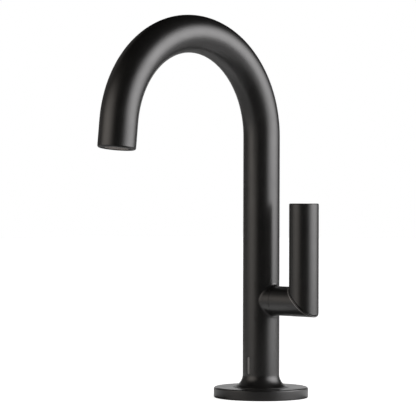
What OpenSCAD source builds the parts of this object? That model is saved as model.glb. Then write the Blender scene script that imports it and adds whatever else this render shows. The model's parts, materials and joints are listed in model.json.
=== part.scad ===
// Electronic bathroom faucet: a gooseneck spout on a round flange, a mitred side lever on a
// progressive mixing cartridge, an inline solenoid valve and a sensor window.
// The origin is on the deck at the centre of the flange's underside, with +Z up.
// The spout reaches towards -Y and the lever stands at +X.

/* [Spout] */
// Outer diameter of the column and the gooseneck
tube_d = 29.7; // [29:0.1:34]
// Wall of the column and the gooseneck
tube_wall = 2.2; // [1.8:0.1:2.3]
// Height of the gooseneck's arc centre above the deck
arc_z = 211.5; // [205:0.1:280]
// Radius of the gooseneck's centre line
arc_r = 78.9; // [50:0.1:110]
// Angle that the gooseneck turns through
arc_angle = 174; // [150:0.1:180]
// Straight length from the end of the arc to the mouth
tail_l = 21.4; // [21:0.1:60]
// Rounding of the mouth's outer edge
mouth_round = 1.6; // [0.2:0.1:1.8]

/* [Base] */
// Diameter of the base flange
flange_d = 76.5; // [70:0.5:90]
// Height of the base flange
flange_h = 8.5; // [5:0.1:12]
// Rounding of the flange's top edge
flange_round = 1.4; // [0.3:0.1:3]
// Radius of the concave foot between the column and the flange
foot_fillet = 10; // [9:0.5:16]
// Thickness of the foot's outer edge, where it meets the flange
foot_lip = 0.25; // [0.2:0.05:1]
// Outer diameter of the column's spigot inside the flange
spigot_d = 31; // [30.5:0.1:34]
// Inner diameter of the gasket under the flange
gasket_in_d = 42; // [38:0.5:50]
// Outer diameter of the gasket under the flange
gasket_out_d = 66; // [60:0.5:68]
// Thickness of the gasket, flush in its recess
gasket_t = 1.5; // [1:0.1:2.5]

/* [Lever] */
// Height of the neck's axis above the deck
neck_z = 78.8; // [76:0.1:90]
// Outer diameter of the neck and of the lever's post
neck_d = 23.7; // [23:0.1:25]
// Length of the fixed collar past the column's surface
collar_l = 4; // [3:0.1:8]
// Length of the nose that the lever turns on, past the collar
nose_l = 8.4; // [8:0.1:12]
// Wall of the lever's sleeve
sleeve_wall = 1.4; // [1.1:0.1:1.5]
// Radius of the blend between the neck and the column
root_fillet = 2.5; // [1.5:0.1:3]
// Seam between the collar and the turning sleeve
seam_gap = 0.15; // [0.15:0.05:0.5]
// Distance of the post's axis from the column's axis
post_x = 46.8; // [46:0.5:60]
// Height of the post's top above the deck
post_top_z = 157.3; // [140:0.1:180]
// Rounding of the post's top edge
post_round = 1; // [0.4:0.1:2]
// Gap of the mitre between the neck and the post
mitre_gap = 0.5; // [0.1:0.05:0.6]
// Diameter of the sleeve's spigot inside the post
post_spigot_d = 17.8; // [16:0.1:18.4]
// Height of that spigot above the neck's axis
post_spigot_h = 18; // [14:0.5:24]
// Depth of the post's bore above the neck's axis
post_bore_h = 46; // [30:1:55]
// Diameter of the lever's grub screws
grub_d = 4; // [3:0.5:5]
// Length of the lever's grub screws
grub_l = 5; // [4:0.5:6]

/* [Cartridge] */
// Outer diameter of the mixing cartridge
cartridge_d = 17; // [16:0.1:17.2]
// Depth of the cartridge behind the column's axis
cartridge_back = 9.3; // [8.6:0.1:9.6]
// Place of the fixed disc's back face along the neck
disc_x = 8; // [7:0.5:8.5]
// Diameter of the ceramic discs
disc_d = 13; // [12:0.1:13.2]
// Thickness of each ceramic disc
disc_t = 2.5; // [2:0.1:2.8]
// Diameter of the mixed water's port through the fixed disc
mix_port_d = 3.6; // [3:0.1:4]
// Diameter of the hot and cold ports
feed_port_d = 3; // [2.5:0.1:3.2]
// Diameter of the cartridge's stem
stem_d = 8; // [7:0.1:8.2]
// Thickness of the stem's flange behind the moving disc
stem_flange_t = 3; // [2:0.1:3.2]
// Width of the stem's square drive
drive_w = 5.6; // [5:0.1:5.8]
// Length of the stem's square drive inside the lever
drive_l = 8; // [7:0.5:9]
// Length of the threaded ring that holds the cartridge
ring_nut_l = 4; // [3:0.1:4.2]
// Thickness of the cartridge's ring seals
seal_d = 1.6; // [1.2:0.1:1.8]

/* [Solenoid valve] */
// Height of the mixing manifold above and below the neck's axis
manifold_half = 16.5; // [14:0.5:18]
// Height of the valve's seat above the manifold
seat_h = 8; // [6:0.5:9]
// Diameter of the hole through the valve's seat
seat_d = 4; // [3:0.1:4.6]
// Diameter of the valve's chamber
chamber_d = 15; // [14:0.1:15.6]
// Height of the valve's housing
housing_h = 17; // [16:0.5:20]
// Inner diameter of the tube that guides the plunger
guide_d = 8; // [7:0.1:8.4]
// Wall of that tube
guide_wall = 0.6; // [0.4:0.1:0.8]
// Height of the coil
coil_h = 24; // [22:0.5:30]
// Outer diameter of the coil's bobbin
coil_d = 16.8; // [16:0.1:16.9]
// Length of the plunger
plunger_l = 19.4; // [17:0.1:21]
// Thickness of the plunger's rubber seal
plunger_seal_t = 1.6; // [1:0.1:2]
// Height of the spring above the plunger
spring_h = 6; // [5:0.5:8]
// Diameter of the spring's wire
spring_wire = 0.7; // [0.4:0.1:0.8]
// Number of the spring's turns
spring_turns = 4; // [3:1:5]
// Diameter of each duct past the coil
duct_d = 2; // [1.4:0.1:2.2]

/* [Waterway] */
// Outer diameter of the water tube in the gooseneck
liner_d = 9; // [8:0.1:10]
// Wall of that tube
liner_wall = 1.25; // [0.8:0.05:1.6]
// Thickness of the discs that centre it
spacer_t = 4; // [3:0.5:6]

/* [Outlet] */
// Depth of the aerator's pocket
pocket_depth = 13; // [12:0.5:14]
// Length of the threaded adapter in the mouth
adapter_l = 20; // [19:0.5:21]
// Diameter of the aerator's pocket
pocket_d = 21.8; // [21:0.1:22.4]
// Length of the aerator's shell
aerator_l = 10.8; // [10:0.1:11]
// Wall of the aerator's shell
aerator_wall = 1.4; // [1:0.1:1.8]
// Thickness of the aerator's face
screen_t = 1; // [0.8:0.1:1.5]
// Diameter of the holes in the aerator's face
screen_hole_d = 1.5; // [0.8:0.1:1.8]
// Thickness of the flow regulator
regulator_t = 2.6; // [2:0.1:3]
// Recess of the aerator's face from the mouth's plane
face_recess = 0.35; // [0.2:0.05:0.8]

/* [Sensor window] */
// Width of the window
window_w = 3; // [2:0.1:4]
// Height of the window
window_h = 14.5; // [10:0.5:20]
// Height of the window's lower end above the deck
window_z = 19; // [18:0.5:26]
// Width of the circuit board
board_w = 12; // [10:0.5:12.5]
// Height of the circuit board
board_h = 35; // [30:1:42]
// Thickness of the circuit board
board_t = 1; // [0.8:0.1:1.2]
// Width of the sensor behind the window
sensor_w = 4; // [3:0.5:5]

/* [Mounting] */
// Outer diameter of the threaded shank
shank_d = 26; // [25:0.5:27]
// Wall of the shank
shank_wall = 2.2; // [1.8:0.1:2.4]
// Length of the shank below the deck
shank_l = 62; // [55:1:90]
// Height that the shank screws into the column
shank_in = 16; // [12:0.5:16]
// Thickness of the deck between the flange and the washers
deck_t = 30; // [5:1:35]
// Outer diameter of the washers under the deck
washer_d = 48; // [44:0.5:60]
// Thickness of the rubber washer
rubber_t = 3; // [2:0.5:5]
// Thickness of the steel washer
steel_t = 2; // [1.5:0.5:3]
// Width of the nut across its flats
nut_af = 36; // [32:1:42]
// Height of the nut
nut_h = 8; // [6:0.5:10]
// Length of the hose block in the shank's lower end
block_l = 14; // [12:0.5:18]
// Core diameter of the hose threads
hose_bore_d = 8.92; // [8:0.02:9.2]
// Depth of the hose threads
hose_depth = 9; // [7:0.5:9.5]
// Distance of each hose thread's axis from the shank's axis
hose_y = 5.3; // [5:0.1:5.6]
// Outer diameter of the supply tubes
supply_d = 6; // [5:0.1:6.4]
// Wall of the supply tubes
supply_wall = 0.8; // [0.5:0.1:1]
// Depth of the supply tubes in their sockets
socket_l = 4; // [3:0.5:4.5]
// Diameter of the cable's hole through the hose block
cable_d = 3.2; // [2:0.1:3.4]

/* [Clearances] */
// Radial gap of pieces that are assembled and stay put
fit_gap = 0.1; // [0.05:0.01:0.15]
// Radial gap of pieces that slide into the column
insert_gap = 0.2; // [0.1:0.05:0.3]
// Radial gap of the lever's turning fit and the plunger's sliding fit
run_gap = 0.08; // [0.03:0.01:0.1]
// Gap between the mounting hardware's holes and the shank
washer_gap = 0.3; // [0.2:0.1:0.6]

/* [Hidden] */
$fn = 72;

// Colours
satin_black = [0.11, 0.105, 0.10];
brass = [0.78, 0.63, 0.36];
steel = [0.72, 0.72, 0.74];
copper = [0.80, 0.46, 0.30];
rubber_black = [0.06, 0.06, 0.06];
white_plastic = [0.90, 0.90, 0.88];
grey_plastic = [0.45, 0.46, 0.48];
ceramic = [0.95, 0.94, 0.90];
board_green = [0.10, 0.38, 0.20];
aerator_grey = [0.52, 0.48, 0.45];
smoked = [0.20, 0.19, 0.18];

// How far a cutter passes the face that it cuts
cut = 1;

// Straight stretches stop a hair before the arc. What reaches into it by a lap is a hair slimmer, so
// that no two faces lie in one place and they join cleanly
join_lap = 0.3;
join_step = 0.02;

// Spout
tube_r = tube_d / 2;
bore_r = tube_r - tube_wall;
insert_r = bore_r - insert_gap;
foot_edge_r = tube_r + foot_fillet - sqrt(pow(foot_fillet, 2) - pow(foot_fillet - foot_lip, 2));
socket_r = shank_d / 2 + fit_gap;

// Lever
neck_r = neck_d / 2;
collar_x = tube_r + collar_l;
sleeve_x = collar_x + seam_gap;
nose_x = collar_x + nose_l;
sleeve_bore_r = neck_r - sleeve_wall;
glide_r = sleeve_bore_r - run_gap;
nose_r = glide_r - 0.22;
glide_t = 0.8;
glide_w = 2.4;
glide_places = [collar_x + 1, nose_x - 1 - glide_w];
hub_x = nose_x + 1;
grub_x = hub_x + drive_l / 2 + 1;
post_grub_z = neck_z + post_spigot_h - 5;

// Blend between the neck and the column, sunk a little so that it crosses both surfaces
blend_sink = 0.05;
blend_steps = 48;
blend_arc_steps = 6;

// Cartridge
cartridge_r = cartridge_d / 2;
cartridge_bore_r = cartridge_r + fit_gap;
discs_x = disc_x + 2 * disc_t;
stem_flange_x = discs_x + stem_flange_t;
chamber_end_x = stem_flange_x + 0.2;
housing_x = nose_x - 1 - ring_nut_l;
disc_chamber_r = disc_d / 2 + fit_gap;
stem_r = stem_d / 2;
stem_bore_r = stem_r + fit_gap;
feed_y = disc_d / 2 - feed_port_d / 2 - 1;
port_drop = 1.5;
seal_places = [-cartridge_back + 1.2, disc_x - 1.2 - seal_d - 0.2];

// Manifold and valve
manifold_z = neck_z - manifold_half;
valve_z = neck_z + manifold_half;
seat_z = valve_z + seat_h;
chamber_z = seat_z - 2;
housing_top_z = valve_z + housing_h;
guide_r = guide_d / 2;
guide_out_r = guide_r + guide_wall;
plunger_r = guide_r - run_gap;
plunger_z = seat_z + plunger_seal_t;
pole_z = plunger_z + plunger_l + spring_h;
guide_flange_t = 2;
yoke_t = 0.6;
yoke_top_t = 2;
coil_top_z = housing_top_z + coil_h;
yoke_top_z = coil_top_z + yoke_top_t;
guide_top_z = yoke_top_z + 2;
sleeve_bore = coil_d / 2 + yoke_t + 2 * fit_gap;
bobbin_t = 1.5;
bobbin_core_r = guide_out_r + 0.8;
duct_circle_r = insert_r - duct_d / 2 - 0.6;
duct_count = 6;
neck_port_d = 4;
neck_spigot_r = neck_port_d / 2 + 2.5;
cap_h = 10;
cap_roof = 7;
nozzle_h = 8;
liner_z = guide_top_z + cap_h;

// Waterway and outlet
liner_r = liner_d / 2;
liner_bore_r = liner_r - liner_wall;
adapter_r = bore_r - fit_gap;
adapter_recess = 0.4;
aerator_r = pocket_d / 2 - fit_gap;
aerator_bore_r = aerator_r - aerator_wall;
shell_recess = face_recess - 0.1;
ledge_t = 1;
regulator_r = aerator_bore_r - fit_gap;
regulator_z = shell_recess + aerator_l - regulator_t - 0.3;
screen_pitch = 2.3;
screen_rings = 3;
spacer_window_r = 2.2;

// Electronics
board_front_y = -sqrt(pow(insert_r - 0.2, 2) - pow(board_w / 2, 2));
board_y = board_front_y + board_t;
clip_h = 3;
clip_bore_r = hose_y + supply_d / 2 + 0.5;
board_z = shank_in + 0.8;
clip_places = [shank_in + 0.2, board_z + board_h - clip_h];

// Mounting
shank_r = shank_d / 2;
shank_bore_r = shank_r - shank_wall;
block_r = shank_bore_r - fit_gap;
block_top_z = block_l - shank_l;
rubber_z = -deck_t - rubber_t;
steel_z = rubber_z - steel_t;
nut_z = steel_z - nut_h;
feed_bore_d = 4.4;

// A ring with its lower face at the origin
module ring(r_out, r_in, h) {
    difference() {
        cylinder(r = r_out, h = h);
        translate([0, 0, -cut]) cylinder(r = r_in, h = h + 2 * cut);
    }
}

// A round cord bent into a circle, centred on the origin
module o_ring(mid_r, cord_r) {
    rotate_extrude() translate([mid_r, 0]) circle(cord_r);
}

// Cutter that rounds a profile's corner at the origin, with the material to the left and below
module corner_cut(r) {
    difference() {
        translate([-r, -r]) square(r + cut);
        translate([-r, -r]) circle(r);
    }
}

// Places children on the neck's axis, with their Z along +X
module along_neck(x) {
    translate([x, 0, neck_z]) rotate([0, 90, 0]) children();
}

// Places children at an angle round the gooseneck, with their Z along the water's way
module on_arc(angle) {
    translate([0, -arc_r, arc_z]) rotate([angle, 0, 0]) translate([0, arc_r, 0]) children();
}

// Places children in the mouth, with their Z pointing back up into the spout
module at_mouth() {
    on_arc(arc_angle) translate([0, 0, tail_l]) rotate([180, 0, 0]) children();
}

// A round bar along the gooseneck's arc, with a short plug across its start that joins it to the column
module arc_bar(r) {
    translate([0, -arc_r, arc_z]) rotate([90, 0, 90]) rotate_extrude(angle = arc_angle)
        translate([arc_r, 0]) circle(r);
    translate([0, 0, arc_z - join_lap]) cylinder(r = r - join_step, h = 2 * join_lap);
}

// A round bar along the column, the arc and the tail, ending at a length past the arc
module spout_bar(r, low_z, tail_end) {
    translate([0, 0, low_z]) cylinder(r = r, h = arc_z - join_step - low_z);
    arc_bar(r);
    on_arc(arc_angle) translate([0, 0, -join_lap]) cylinder(r = r - join_step, h = join_lap + tail_end);
}

// The column with its foot and spigot, as a solid of revolution
module column_solid() {
    rotate_extrude() {
        translate([0, flange_h]) square([tube_r, arc_z - join_step - flange_h]);
        translate([0, gasket_t]) square([spigot_d / 2, flange_h - gasket_t]);
        difference() {
            translate([0, flange_h]) square([foot_edge_r, foot_fillet]);
            translate([tube_r + foot_fillet, flange_h + foot_fillet]) circle(foot_fillet);
        }
    }
}

// The arc and the straight tail, with a rounded mouth
module gooseneck_solid() {
    arc_bar(tube_r);
    on_arc(arc_angle) rotate_extrude() difference() {
        translate([0, -join_lap]) square([tube_r - join_step, tail_l + join_lap]);
        translate([tube_r - join_step, tail_l]) corner_cut(mouth_round);
    }
}

// A point of the blend's rolling circle, at an angle round the neck and a share of the way
// from the neck's surface to the column's
function blend_centre(angle) =
    let (reach = neck_r + root_fillet - blend_sink, y = reach * cos(angle))
    [sqrt(pow(tube_r + root_fillet - blend_sink, 2) - y * y), y, reach * sin(angle)];
function unit(v) = v / norm(v);
function blend_point(angle, share) =
    let (c = blend_centre(angle),
        to_neck = [0, -cos(angle), -sin(angle)],
        to_column = -unit([c[0], c[1], 0]),
        turn = acos(to_neck * to_column))
    c + root_fillet * (sin((1 - share) * turn) * to_neck + sin(share * turn) * to_column) / sin(turn);
// A point inside the metal, behind the corner that the blend fills
function blend_core(angle) =
    let (r = neck_r - 1, y = r * cos(angle))
    [sqrt(pow(tube_r, 2) - y * y) - 1, y, r * sin(angle)];

// The blend between the neck and the column: a closed ring of flat faces
module neck_blend() {
    sides = blend_arc_steps + 2;
    points = [for (i = [0 : blend_steps - 1]) let (angle = i * 360 / blend_steps)
        for (j = [0 : sides - 1])
            j <= blend_arc_steps ? blend_point(angle, j / blend_arc_steps) : blend_core(angle)];
    faces = [for (i = [0 : blend_steps - 1]) for (j = [0 : sides - 1])
        let (a = i * sides + j, b = i * sides + (j + 1) % sides,
            c = ((i + 1) % blend_steps) * sides + (j + 1) % sides, d = ((i + 1) % blend_steps) * sides + j)
        each [[a, b, c], [a, c, d]]];
    translate([0, 0, neck_z]) polyhedron(points = points, faces = faces);
}

// The slim window's outline, a slot with round ends, as a bar through the column's front
module window_bar(w, h) {
    translate([0, 0, window_z + window_h / 2]) rotate([90, 0, 0]) linear_extrude(tube_r + cut) {
        square([w, h - w], center = true);
        translate([0, (h - w) / 2]) circle(w / 2);
        translate([0, -(h - w) / 2]) circle(w / 2);
    }
}

module spout_body() {
    color(satin_black) difference() {
        union() {
            column_solid();
            gooseneck_solid();
            along_neck(0) cylinder(r = neck_r, h = collar_x);
            along_neck(0) cylinder(r = nose_r, h = nose_x);
            neck_blend();
        }
        spout_bar(bore_r, shank_in, tail_l + cut);
        translate([0, 0, -cut]) cylinder(r = socket_r, h = shank_in + cut);
        along_neck(0) cylinder(r = cartridge_bore_r, h = nose_x + cut);
        for (x = glide_places) along_neck(x) ring(nose_r + cut, glide_r - glide_t, glide_w);
        window_bar(window_w, window_h);
    }
}

module base_flange() {
    color(satin_black) rotate_extrude() difference() {
        translate([spigot_d / 2 + fit_gap, 0]) square([flange_d / 2 - spigot_d / 2 - fit_gap, flange_h]);
        translate([flange_d / 2, flange_h]) corner_cut(flange_round);
        translate([flange_d / 2, 0]) mirror([0, 1]) corner_cut(flange_round / 2);
        translate([gasket_in_d / 2 - fit_gap, -cut])
            square([(gasket_out_d - gasket_in_d) / 2 + 2 * fit_gap, gasket_t + cut]);
    }
}

module deck_gasket() {
    color(rubber_black) ring(gasket_out_d / 2, gasket_in_d / 2, gasket_t);
}

module mounting_shank() {
    color(brass) translate([0, 0, -shank_l]) ring(shank_r, shank_bore_r, shank_l + shank_in);
}

module sealing_washer() {
    color(rubber_black) translate([0, 0, rubber_z]) ring(washer_d / 2, shank_r + washer_gap, rubber_t);
}

module clamp_washer() {
    color(steel) translate([0, 0, steel_z]) ring(washer_d / 2, shank_r + washer_gap, steel_t);
}

module mounting_nut() {
    color(brass) translate([0, 0, nut_z]) difference() {
        cylinder(d = nut_af / cos(30), h = nut_h, $fn = 6);
        translate([0, 0, -cut]) cylinder(r = shank_r + fit_gap, h = nut_h + 2 * cut);
    }
}

// The block in the shank's lower end, with a thread for each hose and a socket for each tube
module inlet_block() {
    color(brass) translate([0, 0, -shank_l]) difference() {
        cylinder(r = block_r, h = block_l);
        for (side = [-1, 1]) translate([0, side * hose_y, 0]) {
            translate([0, 0, -cut]) cylinder(d = hose_bore_d, h = hose_depth + cut);
            cylinder(d = supply_d - 2 * supply_wall, h = block_l - cut);
            translate([0, 0, block_l - socket_l]) cylinder(r = supply_d / 2 + fit_gap, h = socket_l + cut);
        }
        translate([block_r - cable_d / 2 - 1.2, 0, -cut]) cylinder(d = cable_d, h = block_l + 2 * cut);
    }
}

module supply_tube(side) {
    color(copper) translate([0, side * hose_y, block_top_z - socket_l])
        ring(supply_d / 2, supply_d / 2 - supply_wall, manifold_z - block_top_z + 2 * socket_l);
}

module hot_supply_tube() {
    supply_tube(-1);
}

module cold_supply_tube() {
    supply_tube(1);
}

// Two rings that hold the board in the column
module board_clips() {
    color(white_plastic) for (z = clip_places) translate([0, 0, z]) difference() {
        ring(insert_r, clip_bore_r, clip_h);
        translate([0, board_y - board_t / 2, 0])
            cube([board_w + 2 * fit_gap, board_t + 2 * fit_gap, 3 * clip_h], center = true);
    }
}

module sensor_board() {
    color(board_green) translate([-board_w / 2, board_front_y, board_z]) cube([board_w, board_t, board_h]);
}

// The status light and presence sensor, between the board and the window
module sensor_module() {
    depth = bore_r - 0.3 + board_front_y;
    color(rubber_black) translate([-sensor_w / 2, board_front_y - depth, window_z + 1])
        cube([sensor_w, depth, window_h - 2]);
}

module indicator_lens() {
    color(smoked) intersection() {
        window_bar(window_w - 2 * fit_gap, window_h - 2 * fit_gap);
        translate([0, 0, window_z]) ring(tube_r, bore_r + fit_gap, window_h);
    }
}

// The block that takes the cartridge crosswise, with both feeds from below and the mixed water above
module valve_manifold() {
    feed_top = neck_z - port_drop;
    color(brass) difference() {
        translate([0, 0, manifold_z]) cylinder(r = insert_r, h = 2 * manifold_half);
        along_neck(-cartridge_back - fit_gap) cylinder(r = cartridge_bore_r, h = 2 * insert_r);
        for (side = [-1, 1]) translate([0, side * hose_y, manifold_z]) {
            translate([0, 0, -cut]) cylinder(r = supply_d / 2 + fit_gap, h = socket_l + cut);
            cylinder(d = feed_bore_d, h = feed_top - manifold_z);
        }
        translate([0, 0, neck_z]) cylinder(d = neck_port_d, h = manifold_half + cut);
        translate([0, 0, valve_z - socket_l]) cylinder(r = neck_spigot_r + fit_gap, h = socket_l + cut);
    }
}

// The inner end of the cartridge: feeds rise into it from below, run to the discs and come back as one
module cartridge_base() {
    color(white_plastic) difference() {
        along_neck(-cartridge_back) cylinder(r = cartridge_r, h = cartridge_back + disc_x);
        for (side = [-1, 1]) {
            translate([0, side * hose_y, neck_z - cartridge_r])
                cylinder(d = feed_port_d, h = cartridge_r - port_drop + feed_port_d / 2);
            translate([0, side * feed_y, neck_z - port_drop]) rotate([0, 90, 0])
                cylinder(d = feed_port_d, h = disc_x + cut);
        }
        translate([0, 0, neck_z]) cylinder(d = mix_port_d, h = cartridge_r + cut);
        along_neck(0) cylinder(d = mix_port_d, h = disc_x + cut);
        for (x = seal_places)
            along_neck(x) ring(cartridge_r + cut, cartridge_r - seal_d + 0.05, seal_d + 0.2);
    }
}

module cartridge_o_rings() {
    color(rubber_black) for (x = seal_places)
        along_neck(x + seal_d / 2 + 0.1) o_ring(cartridge_r - seal_d / 2 + 0.08, seal_d / 2);
}

module fixed_disc() {
    color(ceramic) difference() {
        along_neck(disc_x) cylinder(d = disc_d, h = disc_t);
        for (side = [-1, 1]) translate([disc_x - cut, side * feed_y, neck_z - port_drop]) rotate([0, 90, 0])
            cylinder(d = feed_port_d, h = disc_t + 2 * cut);
        along_neck(disc_x - cut) cylinder(d = mix_port_d, h = disc_t + 2 * cut);
    }
}

// The turning disc: a pocket in its face joins the feeds to the middle as it turns
module moving_disc() {
    color(ceramic) difference() {
        along_neck(disc_x + disc_t) cylinder(d = disc_d, h = disc_t);
        along_neck(disc_x + disc_t - cut) cylinder(d = mix_port_d, h = disc_t / 2 + cut);
        translate([disc_x + disc_t - cut, -feed_port_d / 2, neck_z])
            cube([disc_t / 2 + cut, feed_port_d, disc_d / 2 - 1.2]);
    }
}

// The outer end of the cartridge, round the discs and the stem
module cartridge_housing() {
    color(grey_plastic) difference() {
        along_neck(disc_x) cylinder(r = cartridge_r, h = housing_x - disc_x);
        along_neck(disc_x - cut) cylinder(r = disc_chamber_r, h = chamber_end_x - disc_x + cut);
        along_neck(disc_x) cylinder(r = stem_bore_r, h = housing_x);
    }
}

module cartridge_nut() {
    color(brass) along_neck(housing_x) difference() {
        cylinder(r = cartridge_r, h = ring_nut_l);
        translate([0, 0, -cut]) cylinder(r = stem_r + 0.4, h = ring_nut_l + 2 * cut);
        for (turn = [0, 90]) rotate([0, 0, turn])
            translate([-cartridge_r - cut, -0.8, ring_nut_l - 1.2]) cube([2 * cartridge_r + 2 * cut, 1.6, 2]);
    }
}

module glide_rings() {
    color(white_plastic) for (x = glide_places)
        along_neck(x + 0.05) ring(glide_r, glide_r - glide_t + 0.03, glide_w - 0.1);
}

// The stem turns with the lever: a flange behind the disc, a round shaft and a square drive
module cartridge_stem() {
    color(brass) difference() {
        union() {
            along_neck(discs_x) cylinder(d = disc_d, h = stem_flange_t);
            along_neck(discs_x) cylinder(r = stem_r, h = hub_x - discs_x);
            translate([hub_x - cut, -drive_w / 2, neck_z - drive_w / 2])
                cube([drive_l + cut, drive_w, drive_w]);
        }
        along_neck(chamber_end_x + 1.5) ring(stem_r + cut, stem_r - 1.1, 1.3);
    }
}

module stem_o_ring() {
    color(rubber_black) along_neck(chamber_end_x + 2.15) o_ring(stem_r - 0.5, 0.55);
}

// Everything on the post's side of the mitre, moved along the mitre's normal
module past_mitre(shift) {
    reach = 4 * neck_d;
    translate([post_x, 0, neck_z]) rotate([0, 45, 0]) translate([-reach, -reach, shift])
        cube([2 * reach, 2 * reach, 2 * reach]);
}

// The turning neck with its hub, and the spigot that carries the post
module lever_sleeve() {
    color(satin_black) difference() {
        union() {
            difference() {
                along_neck(sleeve_x) cylinder(r = neck_r, h = post_x + neck_r + cut - sleeve_x);
                past_mitre(-mitre_gap / 2);
            }
            translate([post_x, 0, neck_z]) cylinder(d = post_spigot_d, h = post_spigot_h);
            intersection() {
                translate([post_x, 0, neck_z - neck_r]) cylinder(d = post_spigot_d, h = neck_r);
                along_neck(sleeve_x) cylinder(r = neck_r - 1.2, h = post_x + neck_r - sleeve_x);
            }
        }
        along_neck(sleeve_x - cut) cylinder(r = sleeve_bore_r, h = hub_x - sleeve_x + cut);
        translate([hub_x - cut, -drive_w / 2 - fit_gap, neck_z - drive_w / 2 - fit_gap])
            cube([drive_l + 0.6 + cut, drive_w + 2 * fit_gap, drive_w + 2 * fit_gap]);
        translate([grub_x, 0, neck_z - neck_r - cut]) cylinder(r = grub_d / 2 + fit_gap, h = neck_r + cut);
        translate([post_x, 0, post_grub_z]) rotate([-90, 0, 0])
            translate([0, 0, post_spigot_d / 2 - 2.5]) cylinder(r = grub_d / 2 + fit_gap, h = neck_r);
    }
}

// The upright, bored to fit the spigot and cut at the mitre
module lever_post() {
    low_z = neck_z - neck_r - cut;
    color(satin_black) difference() {
        intersection() {
            translate([post_x, 0, low_z]) rotate_extrude() difference() {
                square([neck_r, post_top_z - low_z]);
                translate([neck_r, post_top_z - low_z]) corner_cut(post_round);
            }
            past_mitre(mitre_gap / 2);
        }
        translate([post_x, 0, low_z - cut])
            cylinder(r = post_spigot_d / 2 + fit_gap, h = neck_z + post_bore_h - low_z + cut);
        translate([post_x, 0, post_grub_z]) rotate([-90, 0, 0])
            cylinder(r = grub_d / 2 + fit_gap, h = neck_r + cut);
    }
}

// A grub screw pointing along -Z from the origin, with a hexagon socket in its lower end
module grub_screw() {
    translate([0, 0, -grub_l]) difference() {
        cylinder(d = grub_d, h = grub_l);
        translate([0, 0, -cut]) cylinder(d = grub_d / 2 / cos(30), h = 2 + cut, $fn = 6);
    }
}

module stem_grub_screw() {
    color(steel) translate([grub_x, 0, neck_z - drive_w / 2 - 0.05]) grub_screw();
}

module post_grub_screw() {
    color(steel) translate([post_x, post_spigot_d / 2 - 2.45, post_grub_z]) rotate([90, 0, 0]) grub_screw();
}

// The valve's lower half: a raised seat in a chamber, and ducts that lead past the coil
module valve_housing() {
    color(grey_plastic) difference() {
        union() {
            translate([0, 0, valve_z]) cylinder(r = insert_r, h = housing_h);
            translate([0, 0, valve_z - socket_l + fit_gap]) cylinder(r = neck_spigot_r, h = socket_l);
        }
        difference() {
            translate([0, 0, chamber_z]) cylinder(d = chamber_d, h = housing_h);
            translate([0, 0, chamber_z - cut]) cylinder(d = seat_d + 2.4, h = seat_z - chamber_z + cut);
        }
        translate([0, 0, valve_z - socket_l]) cylinder(d = seat_d, h = seat_h + socket_l + cut);
        for (i = [0 : duct_count - 1]) rotate([0, 0, i * 360 / duct_count + 30]) {
            translate([duct_circle_r, 0, seat_z + 1]) cylinder(d = duct_d, h = housing_h);
            translate([chamber_d / 2 - cut, 0, seat_z + 1 + duct_d / 2]) rotate([0, 90, 0])
                cylinder(d = duct_d, h = duct_circle_r - chamber_d / 2 + cut);
        }
    }
}

// The plunger's guide, closed by its pole at the top
module core_tube() {
    flange_z = housing_top_z - guide_flange_t;
    color(steel) difference() {
        union() {
            translate([0, 0, flange_z]) cylinder(d = chamber_d - 2 * fit_gap, h = guide_flange_t);
            translate([0, 0, flange_z]) cylinder(r = guide_out_r, h = guide_top_z - flange_z);
        }
        translate([0, 0, flange_z - cut]) cylinder(r = guide_r, h = pole_z - flange_z + cut);
    }
}

module plunger() {
    color(steel) translate([0, 0, plunger_z]) cylinder(r = plunger_r, h = plunger_l);
}

module plunger_seal() {
    color(rubber_black) translate([0, 0, seat_z]) cylinder(r = plunger_r - 0.3, h = plunger_seal_t);
}

// A point on the spring's surface: a share of its length, and an angle round the wire
function spring_point(share, angle) =
    let (turn = 360 * spring_turns * share, wire = spring_wire / 2, mid = guide_r - 0.4 - wire,
        r = mid + wire * cos(angle))
    [r * cos(turn), r * sin(turn), wire + 0.05 + (spring_h - spring_wire - 0.1) * share + wire * sin(angle)];

module plunger_spring() {
    sides = 6;
    steps = 12 * spring_turns;
    points = [for (i = [0 : steps]) for (j = [0 : sides - 1]) spring_point(i / steps, j * 360 / sides)];
    walls = [for (i = [0 : steps - 1]) for (j = [0 : sides - 1])
        let (a = i * sides + j, b = i * sides + (j + 1) % sides)
        each [[a, b, b + sides], [a, b + sides, a + sides]]];
    start = [[for (j = [0 : sides - 1]) sides - 1 - j]];
    end = [[for (j = [0 : sides - 1]) steps * sides + j]];
    color(steel) translate([0, 0, plunger_z + plunger_l])
        polyhedron(points = points, faces = concat(start, walls, end));
}

module coil_bobbin() {
    color(white_plastic) translate([0, 0, housing_top_z]) difference() {
        cylinder(d = coil_d, h = coil_h);
        translate([0, 0, -cut]) cylinder(r = guide_out_r + fit_gap, h = coil_h + 2 * cut);
        translate([0, 0, bobbin_t]) ring(coil_d / 2 + cut, bobbin_core_r, coil_h - 2 * bobbin_t);
    }
}

module coil_winding() {
    color(copper) translate([0, 0, housing_top_z + bobbin_t])
        ring(coil_d / 2 - 0.4, bobbin_core_r, coil_h - 2 * bobbin_t);
}

// The steel can round the coil
module coil_yoke() {
    inner_r = coil_d / 2 + fit_gap;
    color(steel) translate([0, 0, housing_top_z]) {
        ring(inner_r + yoke_t, inner_r, coil_h + yoke_top_t);
        translate([0, 0, coil_h]) ring(inner_r + yoke_t / 2, guide_out_r + fit_gap, yoke_top_t);
    }
}

// The sleeve that leads the water past the coil
module duct_sleeve() {
    color(grey_plastic) translate([0, 0, housing_top_z]) difference() {
        ring(insert_r, sleeve_bore, guide_top_z - housing_top_z);
        for (i = [0 : duct_count - 1]) rotate([0, 0, i * 360 / duct_count + 30])
            translate([duct_circle_r, 0, -cut]) cylinder(d = duct_d, h = guide_top_z);
    }
}

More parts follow.
